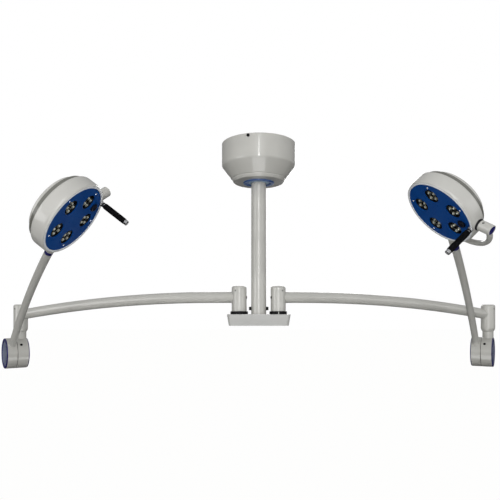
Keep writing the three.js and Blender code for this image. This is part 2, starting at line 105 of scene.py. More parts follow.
QUARTER_TURNS = [math.radians(45 + 90 * i) for i in range(4)]
CORNERS = ((1, 1), (-1, 1), (-1, -1), (1, -1))

Span = namedtuple("Span", "radius low high")


# ---- Places, all taken from the frame --------------------

JOINTS = {joint["name"]: joint for joint in frame["joints"]}


def joint_point(name):
    return Vector(JOINTS[name]["pos_m"])


def joint_axis(name):
    return Vector(JOINTS[name]["axis"]).normalized()


def axes(origin, x, z):
    """A place from an origin and two directions at right angles."""
    x = x.normalized()
    z = z.normalized()
    return Matrix.Translation(origin) @ Matrix((x, z.cross(x), z)).transposed().to_4x4()


def shift(x=0.0, y=0.0, z=0.0):
    """A move in millimetres, for use after a place."""
    return Matrix.Translation(Vector((x, y, z)) * MM)


def local_points(node, place):
    inverse = place.inverted()
    return [(inverse @ vertex.co) / MM for vertex in frame["nodes"][node].data.vertices]


def measure(node, place, outside=0.0, below=math.inf):
    """A CAD node's radius about a place's Z axis and its extent along it, counting only points that are
    further out than `outside` and lower than `below`."""
    points = local_points(node, place)
    points = [p for p in points if math.hypot(p.x, p.y) > outside and p.z < below]
    heights = [point.z for point in points]
    return Span(max(math.hypot(point.x, point.y) for point in points), min(heights), max(heights))


def middle_height(node, place):
    heights = [point.z for point in local_points(node, place)]
    return (min(heights) + max(heights)) / 2


def centred(node, place):
    """The place, moved sideways to the middle of a CAD node."""
    points = local_points(node, place)
    xs = [point.x for point in points]
    ys = [point.y for point in points]
    return place @ shift((min(xs) + max(xs)) / 2, (min(ys) + max(ys)) / 2)


def flipped(place):
    """The same place turned over, so that its Z points the other way."""
    return place @ Matrix.Rotation(math.pi, 4, "X")


def on_wall(place, radius, turn, height):
    """A place on a round wall, Z pointing out of it; turn is in degrees from the place's X."""
    turned = place @ Matrix.Rotation(math.radians(turn), 4, "Z")
    return turned @ shift(radius, 0, height) @ Matrix.Rotation(math.radians(90), 4, "Y")


WORLD = Matrix.Identity(4)
FIXED = (WORLD, "mount")   # place and body of the pieces that don't move


class Side:
    """The places of one side's bodies; Z is the axis that the round pieces there are turned about."""

    def __init__(self, name):
        self.name = name
        self.hand = 1 if name == "left" else -1
        post = joint_point(name + "_arm_swing")
        elbow = joint_point(name + "_drop_swivel")
        hub = joint_point(name + "_spring_arm_lift")
        head = joint_point(name + "_head_tilt")
        self.swivel_point = joint_point(name + "_yoke_swivel")
        self.axle = -joint_axis(name + "_spring_arm_lift")
        self.reach = joint_axis(name + "_yoke_swivel")
        tilt = joint_axis(name + "_head_tilt")
        along = Vector((elbow.x - post.x, elbow.y - post.y, 0))
        self.arm_reach = along.length / MM
        self.post = axes(Vector((post.x, post.y, 0)), along, UP)
        self.elbow = axes(Vector((elbow.x, elbow.y, 0)), along, UP)
        self.stem = axes(Vector((elbow.x, elbow.y, 0)), self.axle, UP)
        self.hub = axes(hub, UP, self.axle)
        self.end = axes(self.swivel_point, self.axle, self.reach)
        self.yoke = axes(head, tilt, tilt.cross(-self.reach))
        self.socket = axes(head, tilt, -self.reach)
        self.barrel = axes(head, -self.reach, tilt)
        self.head = axes(head, tilt, -joint_axis(name + "_button_press"))

    def own(self, part):
        """The name of this side's node, body or piece."""
        return f"{self.name}_{part}"

    def measure(self, part, place, **limits):
        return measure(self.own(part), place, **limits)

    def add(self, part, bm, place, body, look, stands_for=(), **shading):
        """Adds a piece of this side, which may stand for some of its CAD nodes."""
        add(self.own(part), bm, place, body, look, [self.own(node) for node in stands_for], **shading)

    def skin(self, part, bm, place, body, look, bevel=0.0):
        skin(self.own(part), bm, place, body, look, bevel)


# ---- Mesh helpers ----------------------------------------

def rounded(outline, steps=CORNER_STEPS, closed=False):
    """Rounds the corners of an outline of (radius, height, rounding) points; a missing rounding is sharp."""
    count = len(outline)
    result = []
    for i, point in enumerate(outline):
        corner = Vector(point[:2])
        size = point[2] if len(point) > 2 else 0
        if size == 0 or (not closed and i in (0, count - 1)):
            result.append(corner)
            continue
        before = Vector(outline[i - 1][:2]) - corner
        after = Vector(outline[(i + 1) % count][:2]) - corner
        start = corner + before.normalized() * min(size, before.length * 0.49)
        end = corner + after.normalized() * min(size, after.length * 0.49)
        for step in range(steps + 1):
            t = step / steps
            result.append(start * (1 - t) ** 2 + corner * 2 * t * (1 - t) + end * t ** 2)
    return result


def bridge(bm, first, second):
    """Faces between two rings of vertices; a ring of one vertex makes a fan."""
    count = max(len(first), len(second))
    for i in range(count):
        j = (i + 1) % count
        if len(first) == 1:
            bm.faces.new((first[0], second[i], second[j]))
        elif len(second) == 1:
            bm.faces.new((first[i], first[j], second[0]))
        else:
            bm.faces.new((first[i], first[j], second[j], second[i]))


def polar(radius, angle):
    return radius * math.cos(angle), radius * math.sin(angle)


def full_turn(count):
    """Angles of points spaced evenly round a circle."""
    return [2 * math.pi * i / count for i in range(count)]


def ring_points(radius, height, count):
    return [(*polar(radius, angle), height) for angle in full_turn(count)]


def circle(bm, radius, height, count, x=0.0, y=0.0):
    return [bm.verts.new((x + px, y + py, pz)) for px, py, pz in ring_points(radius, height, count)]


def lathe(outline, count=MIDDLE):
    """Spins an outline about Z. One that starts on the axis is closed there, and any other on itself."""
    on_axis = outline[0][0] == 0
    bm = bmesh.new()
    rings = []
    for radius, height in rounded(outline, closed=not on_axis):
        if radius < 1e-6:
            rings.append([bm.verts.new((0, 0, height))])
        else:
            rings.append(circle(bm, radius, height, count))
    pairs = list(zip(rings, rings[1:]))
    if not on_axis:
        pairs.append((rings[-1], rings[0]))
    for first, second in pairs:
        bridge(bm, first, second)
    return bm


def loft(rings):
    """Skins rings of points, each ring a list of the same length, and closes both ends."""
    bm = bmesh.new()
    made = [[bm.verts.new(point) for point in ring] for ring in rings]
    for first, second in zip(made, made[1:]):
        bridge(bm, first, second)
    bm.faces.new(made[0])
    bm.faces.new(made[-1])
    return bm


def sweep(points, radius, across, count=SMALL, closed=False):
    """A round rod along a line of points; across is roughly square to the line everywhere."""
    rings = []
    total = len(points)
    for i, point in enumerate(points):
        before = points[i - 1] if closed or i > 0 else point
        after = points[(i + 1) % total] if closed or i < total - 1 else point
        ahead = (after - before).normalized()
        side = (across - ahead * across.dot(ahead)).normalized()
        third = ahead.cross(side)
        rings.append([point + (side * math.cos(a) + third * math.sin(a)) * radius for a in full_turn(count)])
    if not closed:
        return loft(rings)
    bm = bmesh.new()
    made = [[bm.verts.new(point) for point in ring] for ring in rings]
    for first, second in zip(made, made[1:] + made[:1]):
        bridge(bm, first, second)
    return bm


def disc_with_holes(radius, low, high, holes, count=LARGE):
    """A flat disc with round holes, each hole (x, y, radius)."""
    bm = bmesh.new()
    levels = []
    for height in (low, high):
        rings = [circle(bm, radius, height, count)]
        rings += [circle(bm, size, height, SMALL, x, y) for x, y, size in holes]
        edges = [bm.edges.new((ring[i - 1], ring[i])) for ring in rings for i in range(len(ring))]
        bmesh.ops.triangle_fill(bm, use_beauty=True, edges=edges)
        levels.append(rings)
    for lower, upper in zip(*levels):
        bridge(bm, lower, upper)
    return bm


def rounded_box(length, width, height, rounding):
    bm = bmesh.new()
    bmesh.ops.create_cube(bm, size=1)
    bmesh.ops.scale(bm, vec=(length, width, height), verts=bm.verts)
    bmesh.ops.bevel(bm, geom=bm.edges[:], offset=rounding, segments=3, profile=0.6, affect="EDGES")
    return bm


def merged(parts):
    """One mesh from several, each given as (mesh, move in millimetres)."""
    whole = bmesh.new()
    for part, move in parts:
        part.transform(move)
        mesh = bpy.data.meshes.new("part")
        part.to_mesh(mesh)
        part.free()
        whole.from_mesh(mesh)
        bpy.data.meshes.remove(mesh)
    return whole


def rounded_rectangle(length, width, corner, steps=6):
    points = []
    for quarter, (sx, sy) in enumerate(CORNERS):
        for step in range(steps + 1):
            x, y = polar(corner, math.radians(90) * (quarter + step / steps))
            points.append((sx * (length / 2 - corner) + x, sy * (width / 2 - corner) + y))
    return points


def add(name, bm, place, body, look, stands_for=(), facet_angle=34, bevel=0.0):
    """Puts a mesh into the scene as a piece that rides on a body, and gives it its material."""
    bm.transform(place @ Matrix.Scale(MM, 4))
    bmesh.ops.recalc_face_normals(bm, faces=bm.faces)
    mesh = bpy.data.meshes.new(name)
    bm.to_mesh(mesh)
    bm.free()
    mesh.polygons.foreach_set("use_smooth", [True] * len(mesh.polygons))
    mesh.set_sharp_from_angle(angle=math.radians(facet_angle))
    mesh.materials.append(look.material)
    piece = bpy.data.objects.new(name, mesh)
    bpy.context.scene.collection.objects.link(piece)
    if bevel > 0:
        add_bevel(piece, bevel)
    smooth = piece.modifiers.new("even shading", "WEIGHTED_NORMAL")
    smooth.keep_sharp = True
    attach(piece, body)
    if stands_for:
        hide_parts(*stands_for)


def skin(node, bm, place, body, look, bevel=0.0):
    """Adds the piece that stands for the one CAD node it is named after."""
    add(node + "_skin", bm, place, body, look, [node], bevel=bevel)


def recolour(node, look, bevel):
    """Keeps a CAD node's own shape and gives it a material and soft edges."""
    piece = frame["nodes"][node]
    piece.data.materials.clear()
    piece.data.materials.append(look.material)
    add_bevel(piece, bevel)


def add_bevel(piece, width):
    bevel = piece.modifiers.new("edges", "BEVEL")
    bevel.width = width * MM
    bevel.segments = 3
    bevel.limit_method = "ANGLE"
    bevel.angle_limit = math.radians(40)


# ---- Materials -------------------------------------------

class Look:
    """A procedural material, the name of its slot, and short ways to wire detail into it."""

    def __init__(self, name, slot, roughness, metallic=0.0, coat=0.0):
        self.slot = slot
        self.material = bpy.data.materials.new(name)
        self.material.use_nodes = True
        self.tree = self.material.node_tree
        self.shader = self.tree.nodes["Principled BSDF"]
        self.shader.inputs["Roughness"].default_value = roughness
        self.shader.inputs["Metallic"].default_value = metallic
        self.shader.inputs["Coat Weight"].default_value = coat
        self.shader.inputs["Coat Roughness"].default_value = 0.06
        self.place = self.tree.nodes.new("ShaderNodeTexCoord").outputs["Object"]

    def link(self, source, target):
        self.tree.links.new(source, target)

    def stretched(self, stretch):
        mapping = self.tree.nodes.new("ShaderNodeMapping")
        mapping.inputs["Scale"].default_value = stretch
        self.link(self.place, mapping.inputs["Vector"])
        return mapping.outputs["Vector"]

    def noise(self, size, detail=4.0, stretch=(1, 1, 1)):
        """Cloudy noise whose features are about `size` millimetres across."""
        node = self.tree.nodes.new("ShaderNodeTexNoise")
        node.inputs["Scale"].default_value = 1 / (size * MM)
        node.inputs["Detail"].default_value = detail
        self.link(self.stretched(stretch), node.inputs["Vector"])
        return node.outputs["Fac"]

    def cells(self, size):
        node = self.tree.nodes.new("ShaderNodeTexVoronoi")
        node.inputs["Scale"].default_value = 1 / (size * MM)
        self.link(self.place, node.inputs["Vector"])
        return node.outputs["Distance"]

    def spread(self, factor, low, high, from_low=0.3, from_high=0.7):
        """Maps a noise's useful range onto low..high."""
        node = self.tree.nodes.new("ShaderNodeMapRange")
        self.link(factor, node.inputs["Value"])
        ends = {"From Min": from_low, "From Max": from_high, "To Min": low, "To Max": high}
        for name, value in ends.items():
            node.inputs[name].default_value = value
        return node.outputs["Result"]

    def blend(self, factor, first, second):
        """Mixes two colours, each a tuple or a socket."""
        node = self.tree.nodes.new("ShaderNodeMix")
        node.data_type = "RGBA"
        self.link(factor, node.inputs["Factor"])
        for socket, colour in ((node.inputs[6], first), (node.inputs[7], second)):
            if isinstance(colour, tuple):
                socket.default_value = (*colour, 1)
            else:
                self.link(colour, socket)
        return node.outputs[2]

    def mottled(self, size, base, shade):
        return self.blend(self.spread(self.noise(size), 0, 1), base, shade)

    def edges(self, reach):
        """One along convex and concave edges, zero on open faces."""
        soft = self.tree.nodes.new("ShaderNodeBevel")
        soft.inputs["Radius"].default_value = reach * MM
        bare = self.tree.nodes.new("ShaderNodeNewGeometry")
        dot = self.tree.nodes.new("ShaderNodeVectorMath")
        dot.operation = "DOT_PRODUCT"
        self.link(soft.outputs["Normal"], dot.inputs[0])
        self.link(bare.outputs["Normal"], dot.inputs[1])
        return self.spread(dot.outputs["Value"], 1, 0, 0.86, 0.995)

    def colour(self, source):
        self.link(source, self.shader.inputs["Base Color"])

    def roughness(self, source):
        self.link(source, self.shader.inputs["Roughness"])

    def bump(self, height, depth, strength=1.0):
        node = self.tree.nodes.new("ShaderNodeBump")
        node.inputs["Distance"].default_value = depth * MM
        node.inputs["Strength"].default_value = strength
        self.link(height, node.inputs["Height"])
        self.link(node.outputs["Normal"], self.shader.inputs["Normal"])


def painted(name, slot, base, shade, worn, roughness, peel):
    """Powder coat or moulded plastic: mottled colour, fine peel, rubbed edges and faint handling marks."""
    look = Look(name, slot, roughness, coat=0.8)
    plain = look.mottled(90, base, shade)
    specks = look.spread(look.noise(1.6, 2), 0, 1, 0.66, 0.72)
    speckled = look.blend(look.spread(specks, 0, 0.35, 0, 1), plain, tuple(c * 0.7 for c in shade))
    rubbed = look.tree.nodes.new("ShaderNodeMath")
    rubbed.operation = "MULTIPLY"
    look.link(look.edges(1.2), rubbed.inputs[0])
    look.link(look.spread(look.noise(25), 0, 0.8, 0.4, 0.65), rubbed.inputs[1])
    look.colour(look.blend(rubbed.outputs["Value"], speckled, worn))
    look.roughness(look.spread(look.noise(35, 6), roughness - 0.07, roughness + 0.09))
    look.bump(look.noise(peel, 3), 0.05, 0.35)
    return look


def gloss_plastic(name, slot, base, shade, roughness, shine=0.5):
    """Smooth tinted plastic with faint streaks and fine scratches in its gloss."""
    look = Look(name, slot, roughness)
    look.shader.inputs["Specular IOR Level"].default_value = shine
    look.colour(look.mottled(60, base, shade))
    look.roughness(look.spread(look.noise(9, 8, (1, 1, 6)), roughness - 0.05, roughness + 0.1))
    look.bump(look.noise(14, 2), 0.05, 0.15)
    return look


def brushed_metal(name, slot, base, shade, roughness):
    """Turned metal: fine lines, uneven polish and painted shade darkening its edges and corners."""
    look = Look(name, slot, roughness, metallic=1.0)
    lines = look.noise(0.8, 3, (1, 1, 12))
    toned = look.mottled(12, base, shade)
    # darker colour along edges and in the corners is painted shade
    look.colour(look.blend(look.edges(0.8), toned, tuple(c * 0.6 for c in shade)))
    look.roughness(look.spread(look.noise(6, 5), roughness - 0.04, roughness + 0.1))
    look.bump(lines, 0.02, 0.3)
    return look


def grip_rubber():
    """Matt black rubber with a fine pebble and dust held in it."""
    look = Look("grip_rubber", "grip_rubber", 0.75)
    look.shader.inputs["Specular IOR Level"].default_value = 0.01
    pebble = look.cells(1.3)
    look.colour(look.mottled(8, (0.003, 0.003, 0.0035), (0.009, 0.009, 0.01)))
    look.roughness(look.spread(look.noise(5), 0.6, 0.85))
    look.bump(pebble, 0.25, 0.6)
    return look


def shaded_reflector_chrome():
    """Bright vacuum-coated reflector with a slightly wavy surface; its colour is darkened as painted shade of
    the lamp well and tinted olive as painted reflection of the yellow sources.
    """
    look = Look("shaded_reflector_chrome", "lens_plastic", 0.09, metallic=1.0)
    # dark olive colour: painted shade of the well and painted reflection of the yellow sources
    look.colour(look.mottled(6, (0.3, 0.305, 0.27), (0.1, 0.105, 0.09)))
    look.roughness(look.spread(look.noise(3), 0.05, 0.2))
    look.bump(look.noise(2.5, 2), 0.12, 0.5)
    return look


def light_source():
    """Pale yellow phosphor dot of an unlit light source."""
    look = Look("light_source", "lens_plastic", 0.4, coat=0.2)
    look.colour(look.mottled(1.5, (0.3, 0.25, 0.1), (0.2, 0.165, 0.06)))
    look.bump(look.noise(0.8), 0.05, 0.4)
    return look


WHITE_PAINT = painted(
    "white_paint", "white_paint", (0.50, 0.495, 0.462), (0.455, 0.45, 0.42), (0.56, 0.555, 0.52), 0.36, 2.2)
# A darker copy of the white paint for the cross bar: painted shade on a bar of the same white paint
SHADED_BAR_PAINT = painted(
    "shaded_bar_paint", "white_paint", (0.4, 0.4, 0.385), (0.365, 0.365, 0.352), (0.48, 0.48, 0.465), 0.4, 2.2)
# A darker copy of the white paint for the hub halves: painted shade
SHADED_HUB_PAINT = painted(
    "shaded_hub_paint", "white_paint", (0.43, 0.425, 0.395), (0.385, 0.38, 0.352), (0.5, 0.495, 0.465), 0.4, 2.0)
WHITE_PLASTIC = painted(
    "white_plastic", "white_plastic", (0.53, 0.524, 0.494), (0.49, 0.485, 0.458), (0.6, 0.595, 0.57),
    0.4, 1.6)
# The bezel's white plastic made brighter and bluer than the drum's: painted highlight
LIT_BEZEL_WHITE = painted(
    "bezel_painted_highlight", "white_plastic", (0.78, 0.8, 0.82), (0.72, 0.74, 0.76), (0.82, 0.83, 0.84), 0.28, 2.5)
# Dark grey for the neck band, which is white plastic: painted shade in the step between drum and rear cover
NECK_SHADE_GREY = painted(
    "neck_painted_shade", "white_plastic", (0.15, 0.15, 0.13), (0.12, 0.12, 0.105), (0.24, 0.24, 0.21), 0.5, 1.4)
FACE_BLUE = gloss_plastic("face_blue", "blue_plastic", (0.0015, 0.052, 0.225), (0.002, 0.043, 0.2), 0.3, 0.1)
RING_BLUE = gloss_plastic("ring_blue", "blue_plastic", (0.06, 0.14, 0.36), (0.045, 0.11, 0.3), 0.28)
NAVY = gloss_plastic("navy", "navy_plastic", (0.012, 0.012, 0.12), (0.02, 0.015, 0.09), 0.25, 0.3)
PALE_BLUE = gloss_plastic("pale_blue", "pale_blue_plastic", (0.36, 0.5, 0.64), (0.3, 0.42, 0.56), 0.3)
# The hub caps' dishes are navy plastic; this paler grey-blue is painted reflection
CAP_REFLECTION_BLUE = gloss_plastic("cap_painted_reflection", "navy_plastic", (0.17, 0.195, 0.29), (0.26, 0.29, 0.38), 0.18)
BLACK = gloss_plastic("black", "black_plastic", (0.003, 0.003, 0.004), (0.008, 0.008, 0.009), 0.4, 0.15)
BUTTON_NAVY = gloss_plastic(
    "button_navy", "black_plastic", (0.002, 0.004, 0.014), (0.003, 0.003, 0.008), 0.3, 0.2)
GASKET = gloss_plastic("gasket", "black_plastic", (0.012, 0.012, 0.013), (0.008, 0.008, 0.009), 0.6, 0.2)
MARK = painted("index_mark", "white_paint", (0.6, 0.6, 0.55), (0.5, 0.5, 0.46), (0.6, 0.6, 0.6), 0.5, 1.5)
CHROME = brushed_metal("chrome", "handle_chrome", (0.5, 0.505, 0.51), (0.4, 0.405, 0.415), 0.28)
STEEL = brushed_metal("steel", "plated_steel", (0.5, 0.51, 0.53), (0.4, 0.41, 0.43), 0.33)
# A brighter, bluish copy of the plated steel for the face screws: painted glint
GLINT_STEEL = brushed_metal("steel_painted_glint", "plated_steel", (0.82, 0.86, 0.95), (0.7, 0.75, 0.86), 0.2)
ALUMINIUM = brushed_metal("aluminium", "aluminium", (0.6, 0.61, 0.63), (0.52, 0.53, 0.55), 0.34)
RUBBER = grip_rubber()
SHADED_REFLECTOR = shaded_reflector_chrome()
PHOSPHOR = light_source()


# ---- Small fittings --------------------------------------

def hexagon_recess(radius, depth, socket, head):
    """A round screw head of a given height with a six-sided socket, seated at Z = 0."""
    chamfer = 0.8
    levels = ((radius, -1), (radius, head - chamfer), (radius - chamfer, head))
    rings = [ring_points(size, height, SMALL) for size, height in levels]
    for height in (head, head - depth):
        rings.append([hexagon_point(socket, angle, height) for angle in full_turn(SMALL)])
    return loft(rings)


def hexagon_point(size, angle, height):
    sixth = math.radians(60)
    reach = size * math.cos(sixth / 2) / math.cos(angle % sixth - sixth / 2)
    return (*polar(reach, angle), height)


def set_screw(name, place, body, radius=3.5, look=None):
    """A socket screw sunk flush with a painted wall."""
    add(name, hexagon_recess(radius, 1.4, radius * 0.55, 0.5), place, body, look or BLACK)


def dome_plug(radius, height):
    """A pressed-in plastic plug with a lip and a shallow dome."""
    return lathe([
        (0, -2), (radius - 1.4, -2), (radius - 1.4, 0), (radius, 0, 0.3), (radius, 0.8, 0.6),
        (radius * 0.7, height, 1), (0, height)], SMALL)


# ---- Fixed mount -----------------------------------------

def ceiling_flange():
    span = measure("ceiling_flange", WORLD)
    bolt_circle = 100
    bolt_hole = 4.5
    cable_hole = (-80, 0, 12)
    under = -6
    overlap = under + 0.5
    rim_foot = -18
    rim_inside = span.radius - 6
    boss_radius = 40
    holes = [(*polar(bolt_circle, turn), bolt_hole) for turn in QUARTER_TURNS]
    plate = disc_with_holes(span.radius, under, span.high, [*holes, cable_hole])
    add("ceiling_plate", plate, *FIXED, STEEL, ["ceiling_flange"], bevel=0.6)
    rim = lathe([
        (span.radius, overlap), (span.radius, rim_foot, 1), (rim_inside, rim_foot, 1),
        (rim_inside, overlap)], LARGE)
    add("ceiling_plate_rim", rim, *FIXED, STEEL)
    boss = lathe([
        (boss_radius, overlap), (boss_radius, span.low, 2), (COLUMN_BORE, span.low, 1),
        (COLUMN_BORE, overlap)], LARGE)
    add("ceiling_plate_boss", boss, *FIXED, STEEL)
    for i, (x, y, _) in enumerate(holes):
        washer = lathe([(4.6, under), (4.6, under - 1.6, 0.3), (9, under - 1.6, 0.5), (9, under)], SMALL)
        add(f"ceiling_washer_{i + 1}", washer, shift(x, y), "mount", STEEL)


def power_supply():
    recolour("power_supply", ALUMINIUM, 1.5)


def canopy():
    span = measure("canopy_shell", WORLD)
    outer = span.radius
    shoulder = -88
    lip = 106
    opening = 56
    shell = lathe([
        (outer, span.high, 1.2), (outer, shoulder, 7), (110, -136, 1), (lip, -138.5, 1.2), (lip, -141.5, 1),
        (lip - 6, span.low, 4), (opening, span.low, 1), (opening, span.low + 3, 1),
        (lip - 8, span.low + 3, 3), (lip - 4, -138), (107, -134), (outer - 4, shoulder, 6),
        (outer - 3, span.high, 0.8)], LARGE)
    skin("canopy_shell", shell, *FIXED, WHITE_PAINT)
    ring = measure("canopy_ring", WORLD)
    inside = 41.6
    trim = lathe([
        (ring.radius, ring.high, 0.6), (ring.radius - 1, ring.low, 1.6), (49, ring.low, 1),
        (47, ring.low + 1.2, 1), (inside, ring.low + 1.2, 0.6), (inside, ring.high)], LARGE)
    skin("canopy_ring", trim, *FIXED, RING_BLUE)
    gland = measure("column_gland", WORLD)
    seal = lathe([
        (gland.radius, gland.high), (gland.radius, gland.low + 1.4, 0.6), (36, gland.low, 1.2),
        (COLUMN_BORE, gland.low, 0.5), (COLUMN_BORE, gland.high)], MIDDLE)
    skin("column_gland", seal, *FIXED, PALE_BLUE)
    head = max(local_points("canopy_screw", WORLD), key=lambda point: math.hypot(point.x, point.y))
    turn = math.degrees(math.atan2(head.y, head.x))
    height = middle_height("canopy_screw", WORLD)
    screw = hexagon_recess(6, 1.6, 2.6, 3)
    add("canopy_screw_head", screw, on_wall(WORLD, outer, turn, height), "mount", BLACK, ["canopy_screw"])


def column():
    span = measure("column", WORLD)
    bore = span.radius - 4
    tube = lathe([
        (span.radius, span.low, 0.8), (span.radius, span.high, 0.8), (bore, span.high),
        (bore, span.low)], LARGE)
    add("column_tube", tube, *FIXED, WHITE_PAINT, ["column"])
    bolt_low, bolt_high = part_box("column_bolt")
    height = (bolt_low.z + bolt_high.z) / 2 / MM
    stand = bolt_high.x / MM - span.radius
    for label, turn in (("right", 0), ("left", 180)):
        wall = on_wall(WORLD, span.radius, turn, height)
        washer = lathe([(4, -1), (8.4, -1), (8.4, 0.9, 0.5), (4, 0.9)], SMALL)
        add(f"column_washer_{label}", washer, wall, "mount", BLACK)
        stands_for = ["column_bolt"] if label == "right" else []
        add(f"column_bolt_{label}", hexagon_recess(7, 4, 3.4, stand), wall, "mount", BLACK, stands_for)


def cross_bar():
    low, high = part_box("cross_bar")
    length = (high.x - low.x) / MM
    width = (high.y - low.y) / MM
    top = measure("column", WORLD).low
    bottom = low.z / MM
    draft = 7
    corner = 9
    edge = 1.6

    def ring(height, inset):
        share = (top - height) / (top - bottom) * draft + inset
        outline = rounded_rectangle(length - 2 * share, width - 2 * share, max(corner - inset, 1))
        return [(x, y, height) for x, y in outline]

    levels = (
        (top, 30), (top, edge), (top - 0.5, 0.45), (top - edge, 0), (bottom + edge, 0), (bottom + 0.5, 0.45),
        (bottom, edge), (bottom, 4.6), (bottom + 0.7, 5.2), (bottom + 6, 5.2))
    rings = [ring(height, inset) for height, inset in levels]
    # the cross bar's darker paint is painted shade
    skin("cross_bar", loft(rings), *FIXED, SHADED_BAR_PAINT)
    cover_low, cover_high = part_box("bar_cover")
    size = cover_high - cover_low
    middle = (cover_low.z + cover_high.z) / 2 / MM
    plate = loft([
        [(x, y, z) for x, y in rounded_rectangle(size.x / MM - inset, size.y / MM - inset, 4)]
        for z, inset in ((1.5, 0), (-0.9, 0), (-1.3, 0.4), (-1.5, 1.2))])
    skin("bar_cover", plate, shift(0, 0, middle), "mount", WHITE_PAINT)
    inset = 10
    for i, (sx, sy) in enumerate(CORNERS):
        spot = shift(sx * (size.x / MM / 2 - inset), sy * (size.y / MM / 2 - inset), middle - 1.5)
        set_screw(f"bar_cover_screw_{i + 1}", flipped(spot), "mount", COVER_SCREW_RADIUS, STEEL)


def post_collars(side):
    place = side.post
    span = side.measure("post_collar", place)
    bore = 22
    ring = lathe([
        (span.radius, span.low, 0.6), (span.radius, span.high, 2.2), (bore, span.high, 0.5),
        (bore, span.low)], LARGE)
    side.skin("post_collar", ring, place, "mount", BLACK)
    if side.hand < 0:
        front = axes(place.translation, ACROSS, UP)
        wall = on_wall(front, span.radius - 0.2, -90, (span.low + span.high) / 2)
        add("index_mark", rounded_box(8.5, 2.6, 1, 0.4), wall, "mount", MARK)


# ---- Horizontal arm --------------------------------------

def arm_path(side):
    """Middle line of the arm tube, from the CAD tube's own sections."""
    points = local_points(side.own("arm_tube"), side.post)
    top = max(point.z for point in points)
    radius = max(point.y for point in points)
    reach = side.arm_reach
    straight = 120
    end_top = max(point.z for point in points if point.x > reach - 80)
    drop = top - end_top
    near_end = max(point.x for point in points if point.z > end_top - 0.01 and point.x > reach - 80)
    bend = (near_end - straight) ** 2 / (2 * drop)
    line = []
    count = 40
    for i in range(count + 1):
        x = 20 + (reach - 40) * i / count
        line.append(Vector((x, 0, top - radius - max(0, x - straight) ** 2 / (2 * bend))))
    return line, radius


def weld_bead(sleeve_radius, tube_radius, x, z, direction):
    """The saddle-shaped bead where a tube meets a sleeve at x; direction is the tube's side of it."""
    points = []
    for angle in full_turn(MIDDLE):
        y = tube_radius * math.cos(angle)
        stand = direction * math.sqrt(sleeve_radius ** 2 - y ** 2)
        points.append(Vector((x + stand, y, z + tube_radius * math.sin(angle))))
    return sweep(points, WELD_BEAD, ACROSS, BEAD_POINTS, closed=True)


def sleeve(side, part, place, foot):
    """A sleeve with a rounded top and a set screw; foot is the outline under its straight wall."""
    span = side.measure(part, place)
    outline = [(0, span.high), (span.radius, span.high, SLEEVE_CROWN), *foot, (0, span.low)]
    side.skin(part, lathe(outline, LARGE), place, side.own("arm"), WHITE_PAINT)
    wall = on_wall(place, span.radius, side.hand * SCREW_TURN, span.high - SCREW_DROP)
    set_screw(side.own(part + "_screw"), wall, side.own("arm"))


def arm(side):
    body = side.own("arm")
    post = side.measure("post_sleeve", side.post)
    sleeve(side, "post_sleeve", side.post, [(post.radius, post.low, 1)])
    elbow = side.measure("elbow_sleeve", side.elbow)
    sleeve(side, "elbow_sleeve", side.elbow, [(elbow.radius, elbow.low + 12, 5), (23.6, elbow.low, 1.5)])
    line, radius = arm_path(side)
    tube = sweep(line, radius, Vector((0, 1, 0)), MIDDLE)
    side.skin("arm_tube", tube, side.post, body, WHITE_PAINT)
    start_bead = weld_bead(post.radius, radius, 0, line[0].z, 1)
    side.add("arm_start_weld", start_bead, side.post, body, WHITE_PAINT)
    end_bead = weld_bead(elbow.radius, radius, side.arm_reach, line[-1].z + 1.5, -1)
    side.add("arm_end_weld", end_bead, side.post, body, WHITE_PAINT)
    wall = on_wall(side.post, post.radius, 180, middle_height(side.own("post_plug"), side.post))
    side.skin("post_plug", dome_plug(6.4, 1.3), wall, body, BLACK)


# ---- Drop stem and hub -----------------------------------

def drop_stem(side):
    """The stem, its foot following the round wall of the hub."""
    radius = 23
    pin = 17
    bead_end = 21
    elbow = side.measure("elbow_sleeve", side.elbow)
    hub_radius = side.measure("hub_stem_half", side.hub).radius
    hub_height = side.hub.translation.z / MM
    top = elbow.low - 0.5
    levels = [(pin, elbow.low + 8), (pin, top), (radius - 1, top), (radius, top - 1)]
    rings = [ring_points(r, z, MIDDLE) for r, z in levels]

    def on_hub(wall):
        """A ring of points where the stem meets a round wall about the hub's axle."""
        points = ring_points(radius, 0, MIDDLE)
        return [Vector((x, y, hub_height + math.sqrt(wall ** 2 - y ** 2))) for x, y, _ in points]

    rings.append(on_hub(hub_radius - 0.6))
    side.skin("drop_stem", loft(rings), side.stem, side.own("drop"), WHITE_PAINT)
    bead = [point for point in on_hub(hub_radius) if point.x < bead_end]
    weld = sweep(bead, WELD_BEAD, UP, BEAD_POINTS)
    side.add("stem_weld", weld, side.stem, side.own("drop"), WHITE_PAINT)


def hub_shell(span, split, end, wall=6):
    """A hub half from its split face to just under its cap's ring."""
    floor_face = end - 4 if end > split else end + 4
    bore = 16
    return lathe([
        (bore, split), (span.radius, split, 1.4), (span.radius, end, 0.8), (span.radius - wall, end, 0.5),
        (span.radius - wall, floor_face), (bore, floor_face)], LARGE)


